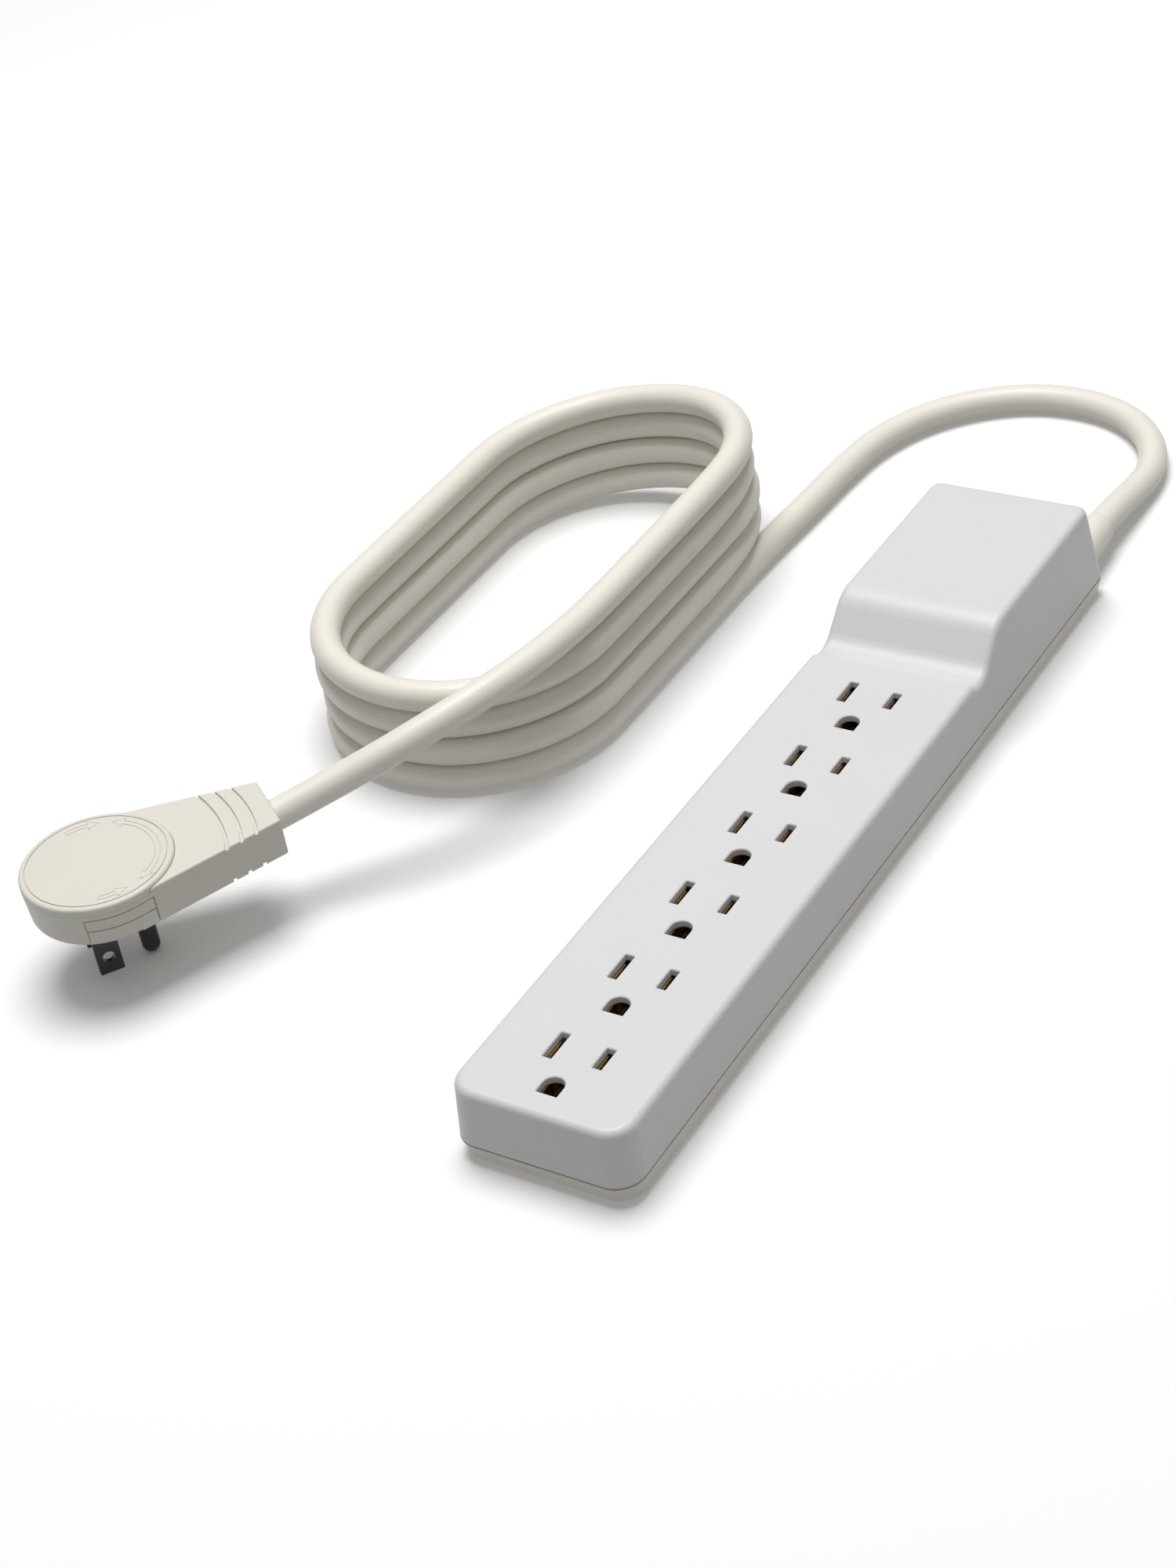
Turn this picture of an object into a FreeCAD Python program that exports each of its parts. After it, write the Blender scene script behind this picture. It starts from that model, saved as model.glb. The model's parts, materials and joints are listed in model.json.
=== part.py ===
"""Power strip with a turning plug: six outlets, breaker, cord and plug, in millimetres.

Origin at the bottom centre of the strip. +X across the strip, +Y towards the cord end, +Z up.
"""
import FreeCAD, Part
import math
import os
import Sketcher

V = FreeCAD.Vector
XY, XZ, YZ = "XY_Plane", "XZ_Plane", "YZ_Plane"
OUTLETS = 6

doc = FreeCAD.newDocument("PowerStrip")
sheet = doc.addObject("Spreadsheet::Sheet", "Dims")

DIMS = {
    # strip casing
    "stripLength": 261.8, "stripWidth": 48.4, "deckTop": 21.0, "headTop": 30.0, "wall": 2.0,
    "splitLow": 5.3, "splitHigh": 5.7, "baseFloor": 1.2, "sideDraft": 1.1, "nearDraft": 2.0,
    "farDraft": 5.5, "nearCorner": 7.0, "farCorner": 3.2, "rimRound": 2.0, "baseRound": 1.6,
    "baseInset": 0.9, "nearInset": 1.5, "tongueWide": 1.0, "tongueHigh": 1.4, "tongueGap": 0.15,
    "endGap": 0.55,
    # S-shaped step from the deck up to the head
    "footRound": 2.2, "dipCentre": 54.6, "dipRound": 7.0, "dipDepth": 1.5,
    "crestCentre": 72.2, "crestRound": 10.2,
    # outlets
    "pitch": 29.14, "firstOutlet": -107.95, "bladeGap": 12.7, "slotWide": 2.42, "neutralSlot": 8.66,
    "hotSlot": 6.9, "groundOffset": 11.9, "groundRadius": 2.75, "groundFlat": 3.0, "slotBevel": 0.35,
    # contacts
    "carrierHalf": 11.0, "carrierNear": -127.0, "carrierFar": 51.0, "carrierLow": 1.25,
    "carrierFloor": 2.6, "ribTop": 12.0, "ribWide": 0.7, "groundRib": 4.1, "outerRib": 10.5,
    "busWide": 3.4, "busThick": 0.6, "groundBusWide": 7.0, "leafThick": 0.5, "leafLong": 6.4,
    "leafTop": 18.7, "leafGrip": 1.2, "leafFlare": 1.2, "groundGrip": 4.5, "pinHole": 2.6,
    # screws
    "screwX": 16.6, "screwNear": -121.0, "screwMid": -30.0, "screwFar": 62.0, "postRadius": 3.4,
    "screwShank": 1.35, "screwHead": 2.7, "screwTop": 15.0, "pilotRadius": 1.4, "screwSeat": 0.6,
    "headThick": 2.0, "driveLong": 3.6, "driveWide": 0.7, "driveDeep": 0.8,
    # keyhole hangers
    "keyholeX": -16.2, "keyholeNear": -93.4, "keyholeFar": 8.6, "keyholeEntry": 4.0,
    "keyholeSlot": 2.1, "keyholeLong": 8.0,
    # breaker
    "breakerX": -9.0, "breakerZ": 15.0, "breakerNear": 86.0, "breakerFar": 115.0,
    "breakerWide": 15.0, "breakerHigh": 20.0, "bushRadius": 5.4, "bushFar": 125.2,
    "buttonRadius": 3.75, "buttonBore": 4.0, "buttonBack": 104.0, "buttonFront": 130.4,
    "boreBack": 103.0, "tabLong": 7.0, "tabWide": 6.35, "tabThick": 0.8, "tabDrop": 5.5,
    # cord and its exit
    "exitX": 15.0, "exitZ": 7.6, "flangeRadius": 5.9, "flangeNear": 120.5, "flangeFar": 126.6,
    "neckRadius": 4.8, "bootRoot": 5.6, "bootTip": 4.7, "bootStart": 131.4, "bootEnd": 148.5,
    "cordRadius": 4.2, "wireRadius": 1.3,
    # coil of the cord: racetrack turns stacked on each other
    "coilX": -114.7, "coilY": 61.5, "coilRound": 40.3, "coilStraight": 69.0, "turnPitch": 8.6,
    # plug, in its own frame: +X along the handle, standing on the ground pin
    "plugX": -143.1, "plugY": -102.3, "plugTurn": 54.5, "discRadius": 19.7, "discDraft": 3.93,
    "discFoot": 19.0, "discLow": 19.6, "discHigh": 29.8, "discRound": 2.4, "capRadius": 19.7,
    "capTop": 32.0, "capRound": 0.9, "capGroove": 18.2, "grooveWide": 0.3,
    "handleStart": 4.2, "handleEnd": 45.6, "handleRoot": 18.84, "handleTip": 9.7, "handleLow": 20.6,
    "handleHigh": 31.0, "handleRound": 0.6, "cordLevel": 25.8, "collarRadius": 4.5,
    "collarLong": 0.4, "gripArc": 50.0, "gripWide": 0.9, "gripDeep": 0.7, "gripFirst": 32.0,
    "gripStep": 4.0, "panelHalf": 27.0, "panelEdge": 0.9, "panelLine": 0.3, "panelHigh": 28.4,
    "panelMid": 25.0,
    "rotorRadius": 15.2, "rotorFit": 0.05, "rotorTop": 23.8, "hubRadius": 3.2, "hubTop": 28.6,
    "webLow": 26.2, "webHigh": 27.6, "chamberRadius": 16.6, "clipRadius": 4.8, "clipGroove": 2.5,
    "clipThick": 0.6, "clipPlay": 0.02,
    "bladeSpan": 6.35, "bladeThick": 1.5, "bladeLong": 16.5, "bladeBack": 4.6, "pinAhead": 7.3,
    "pinRadius": 2.38, "pinNeck": 0.3, "pinNeckRadius": 2.1, "bladeHole": 1.6, "bladeTaper": 0.35,
    "bladeHoleDown": 11.7, "socketRoof": 1.0, "ringThick": 0.7,
    "lineRingIn": 12.2, "neutralRingIn": 9.2, "groundRingIn": 5.3, "ringWide": 1.8, "brushGap": 0.1,
    "studRadius": 0.7, "studTop": 27.95, "plugWire": 0.9
}


def fillSheet():
    for row, (alias, number) in enumerate(DIMS.items(), start=1):
        sheet.set(f"A{row}", alias)
        sheet.set(f"B{row}", str(number))
        sheet.setAlias(f"B{row}", alias)
    doc.recompute()


def dim(text):
    """Spreadsheet formula: plain alias names become references to the sheet."""
    words = []
    word = ""
    for letter in text + " ":
        if letter.isalnum():
            word += letter
            continue
        words.append(f"Dims.{word}" if word in DIMS else word)
        words.append(letter)
        word = ""
    return "".join(words).strip()


def num(text):
    return float(sheet.evalExpression(dim(text)))


def bind(thing, **formulas):
    """Ties properties to the sheet; Placement parts are written with double underscores."""
    for name, text in formulas.items():
        thing.setExpression(name.replace("__", "."), dim(text))


# ---- sketches and features of a PartDesign body

def newBody(name):
    body = doc.addObject("PartDesign::Body", name)
    body.Label = name
    return body


def sketchOn(body, role, offset=None):
    sketch = body.newObject("Sketcher::SketchObject", body.Name + "_sketch")
    plane = next(f for f in body.Origin.OriginFeatures if f.Role == role)
    sketch.AttachmentSupport = [(plane, "")]
    sketch.MapMode = "FlatFace"
    if offset:
        bind(sketch, AttachmentOffset__Base__z=offset)
    return sketch


def constrain(sketch, kind, text, *where):
    index = sketch.addConstraint(Sketcher.Constraint(kind, *where, num(text)))
    sketch.setExpression(f"Constraints[{index}]", dim(text))


def outline(body, role, corners, offset=None):
    """Closed polygon with both coordinates of every corner tied to the sheet."""
    sketch = sketchOn(body, role, offset)
    points = [V(num(a), num(b), 0) for a, b in corners]
    count = len(points)
    for i in range(count):
        sketch.addGeometry(Part.LineSegment(points[i], points[(i + 1) % count]), False)
    for i in range(count):
        sketch.addConstraint(Sketcher.Constraint("Coincident", i, 2, (i + 1) % count, 1))
    for i, (a, b) in enumerate(corners):
        constrain(sketch, "DistanceX", a, -1, 1, i, 1)
        constrain(sketch, "DistanceY", b, -1, 1, i, 1)
    return sketch


def rectangle(body, role, low, high, offset=None):
    corners = [(low[0], low[1]), (high[0], low[1]), (high[0], high[1]), (low[0], high[1])]
    return outline(body, role, corners, offset)


def circles(body, role, rings, offset=None):
    """Full circles (x, y, radius), each tied to the sheet."""
    sketch = sketchOn(body, role, offset)
    for i, (x, y, radius) in enumerate(rings):
        sketch.addGeometry(Part.Circle(V(num(x), num(y), 0), V(0, 0, 1), num(radius)), False)
        constrain(sketch, "Radius", radius, i)
        constrain(sketch, "DistanceX", x, -1, 1, i, 3)
        constrain(sketch, "DistanceY", y, -1, 1, i, 3)
    return sketch


def pad(body, sketch, length, down=False, taper=None):
    feature = body.newObject("PartDesign::Pad", body.Name + "_pad")
    feature.Profile = sketch
    feature.Reversed = down
    bind(feature, Length=length)
    if taper:
        bind(feature, TaperAngle=taper)
    doc.recompute()
    return feature


def pocket(body, sketch, length=None, up=False, both=False):
    """Cuts the sketch out of the body and makes sure that it removed material."""
    before = body.Shape.Volume
    feature = body.newObject("PartDesign::Pocket", body.Name + "_pocket")
    feature.Profile = sketch
    if length is None:
        feature.Type = "ThroughAll"
    else:
        bind(feature, Length=length)
    feature.Midplane = both
    feature.Reversed = up
    doc.recompute()
    if not feature.Shape.Volume < before - 1e-6:
        raise RuntimeError(f"{feature.Name} cut nothing")
    return feature


def pattern(body, features, count, spacing, along="Y_Axis"):
    """Repeats features along an axis of the body."""
    repeat = body.newObject("PartDesign::LinearPattern", body.Name + "_pattern")
    repeat.Originals = features
    axis = next(f for f in body.Origin.OriginFeatures if f.Role == along)
    repeat.Direction = (axis, [""])
    repeat.Mode = "Spacing"
    repeat.Occurrences = count
    bind(repeat, Offset=spacing)
    body.Tip = repeat
    doc.recompute()
    return repeat


def edgesWhere(shape, test):
    return [f"Edge{i}" for i, edge in enumerate(shape.Edges, start=1) if test(edge)]


def roundEdges(body, test, radius):
    base = body.Tip
    feature = body.newObject("PartDesign::Fillet", body.Name + "_round")
    feature.Base = (base, edgesWhere(base.Shape, test))
    bind(feature, Radius=radius)
    doc.recompute()
    return feature


def upright(edge, low, high):
    """An edge that climbs from level low to level high."""
    box = edge.BoundBox
    return abs(box.ZMin - low) < 0.05 and abs(box.ZMax - high) < 0.05


# ---- plain solids tied to the sheet

def box(name, corner, size):
    thing = doc.addObject("Part::Box", name)
    bind(thing, Length=size[0], Width=size[1], Height=size[2])
    bind(thing, Placement__Base__x=corner[0], Placement__Base__y=corner[1], Placement__Base__z=corner[2])
    return thing


def cylinder(name, centre, radius, height, axis="z"):
    thing = doc.addObject("Part::Cylinder", name)
    turn = {"z": FreeCAD.Rotation(), "y": FreeCAD.Rotation(V(1, 0, 0), -90)}[axis]
    thing.Placement = FreeCAD.Placement(V(), turn)
    bind(thing, Radius=radius, Height=height)
    bind(thing, Placement__Base__x=centre[0], Placement__Base__y=centre[1], Placement__Base__z=centre[2])
    return thing


def cone(name, centre, radius1, radius2, height, axis="z"):
    thing = doc.addObject("Part::Cone", name)
    turn = {"z": FreeCAD.Rotation(), "y": FreeCAD.Rotation(V(1, 0, 0), -90)}[axis]
    thing.Placement = FreeCAD.Placement(V(), turn)
    bind(thing, Radius1=radius1, Radius2=radius2, Height=height)
    bind(thing, Placement__Base__x=centre[0], Placement__Base__y=centre[1], Placement__Base__z=centre[2])
    return thing


def cut(name, base, tool):
    thing = doc.addObject("Part::Cut", name)
    thing.Base = base
    thing.Tool = tool
    return thing


def fuse(name, things):
    thing = doc.addObject("Part::MultiFuse", name)
    thing.Shapes = things
    return thing


def together(name, things):
    """Separate solids in one node."""
    thing = doc.addObject("Part::Compound", name)
    thing.Links = things
    return thing


nodes = {}


def keep(name, thing):
    """Registers a finished sub-part under the name of its file."""
    thing.Label = name
    nodes[name] = thing
    return thing


# ---- casing

def addChain(sketch, shapes, smooth):
    """Adds a closed chain; joints named in smooth are tangent, the others only meet."""
    for shape in shapes:
        sketch.addGeometry(shape, False)
    count = len(shapes)
    for i in range(count):
        j = (i + 1) % count
        kind = "Tangent" if i in smooth else "Coincident"
        for p, q in ((1, 1), (1, 2), (2, 1), (2, 2)):
            if sketch.getPoint(i, p).distanceToPoint(sketch.getPoint(j, q)) < 1e-6:
                sketch.addConstraint(Sketcher.Constraint(kind, i, p, j, q))
                break


def arcAround(centre, radius, a, b):
    middle = (a - centre).normalize() + (b - centre).normalize()
    return Part.Arc(a, centre + middle.normalize() * radius, b)


def stepProfile(body, inset):
    """What is cut above the deck: a dip at the deck's edge, a slope, a crest and the head's top."""
    sketch = sketchOn(body, YZ)
    deck, top = num(f"deckTop - {inset}"), num(f"headTop - {inset}")
    radii = {"foot": f"footRound - {inset}", "dip": f"dipRound + {inset}", "crest": f"crestRound - {inset}"}
    footR, dipR, crestR = (num(text) for text in radii.values())
    dipC = V(num("dipCentre"), num("deckTop - dipDepth + dipRound"), 0)
    crestC = V(num("crestCentre"), top - crestR, 0)
    footC = V(dipC.x - math.sqrt((dipR + footR) ** 2 - (dipC.y - deck + footR) ** 2), deck - footR, 0)
    lip = footC + (dipC - footC).normalize() * footR
    # inner tangent of the dip and the crest
    gap = crestC - dipC
    angle = math.atan2(gap.y, gap.x) - math.acos((dipR + crestR) / gap.Length)
    leave = V(math.cos(angle), math.sin(angle), 0)
    low, high = dipC + leave * dipR, crestC - leave * crestR
    start, finish = V(footC.x, deck, 0), V(crestC.x, top, 0)
    near, far, roof = num("-stripLength/2 - 10"), num("stripLength/2 + 10"), num("headTop + 15")
    corners = [V(far, top, 0), V(far, roof, 0), V(near, roof, 0), V(near, deck, 0)]
    addChain(sketch, [
        Part.LineSegment(corners[3], start),
        arcAround(footC, footR, start, lip),
        arcAround(dipC, dipR, lip, low),
        Part.LineSegment(low, high),
        arcAround(crestC, crestR, high, finish),
        Part.LineSegment(finish, corners[0]),
        Part.LineSegment(corners[0], corners[1]),
        Part.LineSegment(corners[1], corners[2]),
        Part.LineSegment(corners[2], corners[3]),
    ], smooth=(0, 1, 2, 3, 4))
    for i, text in zip((1, 2, 4), radii.values()):
        constrain(sketch, "Radius", text, i)
    constrain(sketch, "DistanceY", f"deckTop - {inset}", -1, 1, 8, 2)
    constrain(sketch, "DistanceY", f"headTop - {inset}", -1, 1, 6, 1)
    constrain(sketch, "DistanceX", "dipCentre", -1, 1, 2, 3)
    constrain(sketch, "DistanceY", "deckTop - dipDepth + dipRound", -1, 1, 2, 3)
    constrain(sketch, "DistanceX", "crestCentre", -1, 1, 4, 3)
    return sketch


def wedge(body, foot, head, low, high):
    """Tapered block: half width, near reach and far reach at its foot and at its head."""
    feature = body.newObject("PartDesign::AdditiveWedge", body.Name + "_wedge")
    plane = next(f for f in body.Origin.OriginFeatures if f.Role == XZ)
    feature.AttachmentSupport = [(plane, "")]
    feature.MapMode = "FlatFace"
    bind(feature, Xmin=f"-({foot[0]})", Xmax=foot[0], X2min=f"-({head[0]})", X2max=head[0])
    bind(feature, Zmin=f"-({foot[2]})", Zmax=foot[1], Z2min=f"-({head[2]})", Z2max=head[1])
    bind(feature, Ymin=low, Ymax=high)
    doc.recompute()
    return feature


def coverForm(name, inset, low):
    """Outer form of the cover (inset 0) or the space inside it (inset = wall)."""
    body = newBody(name)
    half, end = f"stripWidth/2 - {inset}", f"stripLength/2 - {inset}"
    wedge(body, (half, end, end), (f"{half} - sideDraft", f"{end} - nearDraft", f"{end} - farDraft"),
          low, "headTop + 1")
    bottom, top = num(low), num("headTop + 1")
    roundEdges(body, lambda e: upright(e, bottom, top) and e.BoundBox.YMax < 0, f"nearCorner - {inset}")
    roundEdges(body, lambda e: upright(e, bottom, top) and e.BoundBox.YMin > 0, f"farCorner - {inset}/2")
    pocket(body, stepProfile(body, inset), both=True)
    return body


def rimEdge(edge):
    """An edge where the top meets a side, from the near end to the far end."""
    area = edge.BoundBox
    if area.ZMin < num("deckTop - dipDepth") - 0.5 or area.ZLength > 10:
        return False
    across = area.YLength < 0.01 and area.ZLength < 0.01
    return not across or abs(area.YMin) > num("stripLength/2 - 10")


def outletTool():
    """One outlet's three apertures with their bevels, repeated along the deck."""
    body = newBody("outlet_tool")
    features = []
    for x, long in (("-bladeGap/2", "neutralSlot"), ("bladeGap/2", "hotSlot")):
        for grow, depth in (("0", "6"), ("slotBevel", "slotBevel")):
            low = (f"{x} - slotWide/2 - {grow}", f"firstOutlet - {long}/2 - {grow}")
            high = (f"{x} + slotWide/2 + {grow}", f"firstOutlet + {long}/2 + {grow}")
            face = rectangle(body, XY, low, high, offset="deckTop")
            features.append(pad(body, face, depth, down=True, taper=None if grow == "0" else "-45"))
    for grow, depth in (("0", "6"), ("slotBevel", "slotBevel")):
        face = groundShape(body, grow)
        features.append(pad(body, face, depth, down=True, taper=None if grow == "0" else "-45"))
    pattern(body, features, OUTLETS, "pitch")
    return body


def groundShape(body, grow):
    """Ground hole: a half round towards the slots and a flat on the other side."""
    sketch = sketchOn(body, XY, "deckTop")
    radius = num(f"groundRadius + {grow}")
    centre = V(0, num("firstOutlet - groundOffset"), 0)
    flat = centre.y - num(f"groundFlat + {grow}")
    right, left = centre + V(radius, 0, 0), centre - V(radius, 0, 0)
    addChain(sketch, [
        Part.Arc(right, centre + V(0, radius, 0), left),
        Part.LineSegment(left, V(left.x, flat, 0)),
        Part.LineSegment(V(left.x, flat, 0), V(right.x, flat, 0)),
        Part.LineSegment(V(right.x, flat, 0), right),
    ], smooth=(0, 3))
    constrain(sketch, "Radius", f"groundRadius + {grow}", 0)
    constrain(sketch, "DistanceY", "firstOutlet - groundOffset", -1, 1, 0, 3)
    sketch.addConstraint(Sketcher.Constraint("PointOnObject", 0, 3, -2))
    sketch.addConstraint(Sketcher.Constraint("Horizontal", 2))
    constrain(sketch, "DistanceY", f"firstOutlet - groundOffset - groundFlat - {grow}", -1, 1, 2, 1)
    return sketch


SCREW_ROWS = ("screwNear", "screwMid", "screwFar")
SCREWS = [(side + "screwX", row) for row in SCREW_ROWS for side in ("-", "")]


def topCover():
    outer = coverForm("cover_outer", "0", "splitHigh")
    roundEdges(outer, rimEdge, "rimRound")
    inner = coverForm("cover_inner", "wall", "splitHigh - 1")
    shell = cut("cover_shell", outer, inner)
    posts = []
    for i, (x, y) in enumerate(SCREWS):
        post = cylinder(f"cover_post{i}", (x, y, "splitHigh + 0.1"), "postRadius",
                        "deckTop - wall/2 - splitHigh")
        posts.append(post)
    pilots = [cylinder(f"cover_pilot{i}", (x, y, "splitHigh"), "pilotRadius", "screwTop + 0.5 - splitHigh")
              for i, (x, y) in enumerate(SCREWS)]
    ways = [outletTool(), exitHole("cover_exit"),
            cylinder("cover_button_hole", ("breakerX", "bushFar - 2", "breakerZ"), "buttonBore", "20", "y")]
    solid = fuse("cover_solid", [shell] + posts)
    keep("top_cover", cut("top_cover", solid, fuse("cover_ways", pilots + ways)))


def exitHole(name):
    return cylinder(name, ("exitX", "flangeFar - 2", "exitZ"), "neckRadius + 0.1", "20", "y")


def baseForm():
    """Outer form of the base: it narrows towards the bottom."""
    body = newBody("base_form")
    half, end = "stripWidth/2", "stripLength/2"
    wedge(body, (f"{half} - baseInset", f"{end} - nearInset", f"{end} - nearInset"), (half, end, end),
          "0", "splitLow")
    top = num("splitLow")
    roundEdges(body, lambda e: upright(e, 0, top) and e.BoundBox.YMax < 0, "nearCorner")
    roundEdges(body, lambda e: upright(e, 0, top) and e.BoundBox.YMin > 0, "farCorner")
    roundEdges(body, lambda e: e.BoundBox.ZMax < 0.01, "baseRound")
    pocket(body, reachRectangle(body, "(wall + tongueGap + tongueWide)", "splitLow"), "splitLow - baseFloor")
    return body


def reachRectangle(body, inset, offset):
    """Rectangle that stays inset from the seam's outline on every side."""
    half, end = f"(stripWidth/2 - {inset})", f"(stripLength/2 - endGap - {inset})"
    return rectangle(body, XY, (f"-{half}", f"-{end}"), (half, end), offset=offset)


def baseTongue():
    """Lip of the base that stands inside the cover's walls."""
    body = newBody("base_tongue")
    pad(body, reachRectangle(body, "(wall + tongueGap)", "splitLow - 1"), "tongueHigh + 1")
    low, high = num("splitLow - 1"), num("splitLow + tongueHigh")
    roundEdges(body, lambda e: upright(e, low, high) and e.BoundBox.YMax < 0,
               "nearCorner - wall - tongueGap")
    roundEdges(body, lambda e: upright(e, low, high) and e.BoundBox.YMin > 0,
               "farCorner - wall/2 - tongueGap")
    well = reachRectangle(body, "(wall + tongueGap + tongueWide)", "splitLow + tongueHigh")
    pocket(body, well, "tongueHigh + 2")
    return body


def keyhole(name, y):
    """Hanger in the floor: a round entry for a screw head and a narrow way for its neck."""
    entry = cylinder(name + "_entry", ("keyholeX", y, "-1"), "keyholeEntry", "baseFloor + 2")
    slot = box(name + "_slot", ("keyholeX - keyholeSlot", y, "-1"),
               ("2*keyholeSlot", "keyholeLong", "baseFloor + 2"))
    tip = cylinder(name + "_tip", ("keyholeX", f"{y} + keyholeLong", "-1"), "keyholeSlot", "baseFloor + 2")
    return [entry, slot, tip]


def basePlate():
    posts, ways = [], []
    for i, (x, y) in enumerate(SCREWS):
        posts.append(cylinder(f"base_post{i}", (x, y, "baseFloor/2"), "postRadius + 0.8",
                              "splitHigh - baseFloor/2"))
        ways.append(cylinder(f"base_bore{i}", (x, y, "-1"), "screwShank + 0.3", "10"))
        ways.append(cylinder(f"base_sink{i}", (x, y, "-1"), "screwHead + 0.3", "screwSeat + headThick + 1"))
    ways += keyhole("keyhole_near", "keyholeNear") + keyhole("keyhole_far", "keyholeFar")
    ways.append(exitHole("base_exit"))
    solid = fuse("base_solid", [baseForm(), baseTongue()] + posts)
    keep("base_plate", cut("base_plate", solid, fuse("base_ways", ways)))


def caseScrews():
    screws = []
    for i, (x, y) in enumerate(SCREWS):
        head = cylinder(f"screw_head{i}", (x, y, "screwSeat"), "screwHead", "headThick")
        shank = cylinder(f"screw_shank{i}", (x, y, "screwSeat + headThick"), "screwShank",
                         "screwTop - screwSeat - headThick")
        drive = box(f"screw_drive{i}", (f"{x} - driveLong/2", f"{y} - driveWide/2", "0"),
                    ("driveLong", "driveWide", "screwSeat + driveDeep"))
        screws.append(cut(f"screw{i}", fuse(f"screw_whole{i}", [head, shank]), drive))
    keep("case_screws", together("case_screws", screws))


# ---- outlets' contacts

def contactCarrier():
    floor = box("carrier_slab", ("-carrierHalf", "carrierNear", "carrierLow"),
                ("2*carrierHalf", "carrierFar - carrierNear", "carrierFloor - carrierLow"))
    ribs = []
    for i, x in enumerate(("-outerRib", "-groundRib", "groundRib", "outerRib")):
        ribs.append(box(f"carrier_rib{i}", (f"{x} - ribWide/2", "carrierNear", "carrierLow"),
                        ("ribWide", "carrierFar - carrierNear", "ribTop - carrierLow")))
    holes = []
    for k in range(OUTLETS):
        y = f"firstOutlet - groundOffset + {k}*pitch"
        holes.append(cylinder(f"carrier_hole{k}", ("0", y, "0"), "pinHole + 0.3", "4"))
    solid = fuse("carrier_solid", [floor] + ribs)
    keep("contact_carrier", cut("contact_carrier", solid, fuse("carrier_holes", holes)))


def leafPair(body, x, y, grip, long):
    """Two leaves that stand on a bus bar and grip a blade or a pin between them."""
    features = []
    for side in (-1, 1):
        inner, flare = f"{x} + {side}*{grip}/2", f"{x} + {side}*({grip}/2 + leafFlare/4)"
        root = f"{x} + {side}*({grip}/2 + leafThick)"
        outer = f"{side}*leafThick"
        low, knee = "carrierFloor + busThick/2", "leafTop - 2"
        corners = [(root, low), (f"{root} + {outer}", low), (f"{inner} + {outer}", knee),
                   (f"{flare} + {outer}", "leafTop"), (flare, "leafTop"), (inner, knee)]
        face = outline(body, XZ, corners, offset=f"-({y} + {long}/2)")
        features.append(pad(body, face, long))
    return features


def busBar(name, x, wide, y, grip, long):
    body = newBody(name)
    start = "carrierNear + 1"
    strip = rectangle(body, XY, (f"{x} - {wide}/2", start), (f"{x} + {wide}/2", "carrierFar - 1"),
                      offset="carrierFloor")
    pad(body, strip, "busThick")
    leaves = leafPair(body, x, y, grip, long)
    pattern(body, leaves, OUTLETS, "pitch")
    return body


def busBars():
    for name, side in (("neutral_bus_bar", "-"), ("hot_bus_bar", "")):
        keep(name, busBar(name, f"{side}bladeGap/2", "busWide", "firstOutlet", "leafGrip", "leafLong"))
    ground = busBar("ground_bus", "0", "groundBusWide", "firstOutlet - groundOffset", "groundGrip", "4")
    holes = [cylinder(f"ground_way{k}", ("0", f"firstOutlet - groundOffset + {k}*pitch", "0"), "pinHole", "4")
             for k in range(OUTLETS)]
    keep("ground_bus_bar", cut("ground_bus_bar", ground, fuse("ground_ways", holes)))


# ---- breaker

def breaker():
    corner = ("breakerX - breakerWide/2", "breakerNear", "breakerZ - breakerHigh/2")
    block = box("breaker_block", corner, ("breakerWide", "breakerFar - breakerNear", "breakerHigh"))
    neck = cylinder("breaker_neck", ("breakerX", "breakerFar - 1", "breakerZ"), "bushRadius",
                    "bushFar - breakerFar + 1", "y")
    nut = cylinder("breaker_nut", ("breakerX", "bushFar - 3.4", "breakerZ"), "bushRadius + 1.6", "1.6", "y")
    bore = cylinder("breaker_bore", ("breakerX", "boreBack", "breakerZ"), "buttonBore", "40", "y")
    keep("breaker_body", cut("breaker_body", fuse("breaker_solid", [block, neck, nut]), bore))
    tabs = []
    for i, side in enumerate(("+", "-")):
        level = f"breakerZ {side} tabDrop - tabThick/2"
        tabs.append(box(f"tab{i}", ("breakerX - tabWide/2", "breakerNear - tabLong", level),
                        ("tabWide", "tabLong", "tabThick")))
    keep("breaker_terminals", together("breaker_terminals", tabs))
    body = newBody("reset_button")
    shank = circles(body, XZ, [("breakerX", "breakerZ", "buttonRadius")], offset="-buttonFront")
    pad(body, shank, "buttonFront - buttonBack")
    front = num("buttonFront")
    roundEdges(body, lambda e: abs(e.BoundBox.YMin - front) < 0.01 and e.BoundBox.YLength < 0.01, "0.9")
    keep("reset_button", body)


# ---- round tubes along a path

def pathWire(points):
    """Straight runs joined by tangent arcs, each as large as its two runs allow."""
    points = [V(*p) for p in points]
    edges, radii, last = [], [], points[0]
    for before, corner, after in zip(points, points[1:], points[2:]):
        into, out = corner - before, after - corner
        turn = into.getAngle(out)
        setback = 0.45 * min(into.Length, out.Length)
        radii.append(setback / math.tan(turn / 2))
        start = corner - into.normalize() * setback
        finish = corner + out.normalize() * setback
        bisector = (finish + start) * 0.5 - corner
        centre = corner + bisector.normalize() * math.hypot(radii[-1], setback)
        middle = centre + (corner - centre).normalize() * radii[-1]
        edges.append(Part.LineSegment(last, start).toShape())
        edges.append(Part.Arc(start, middle, finish).toShape())
        last = finish
    edges.append(Part.LineSegment(last, points[-1]).toShape())
    return Part.Wire(edges), radii


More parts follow.
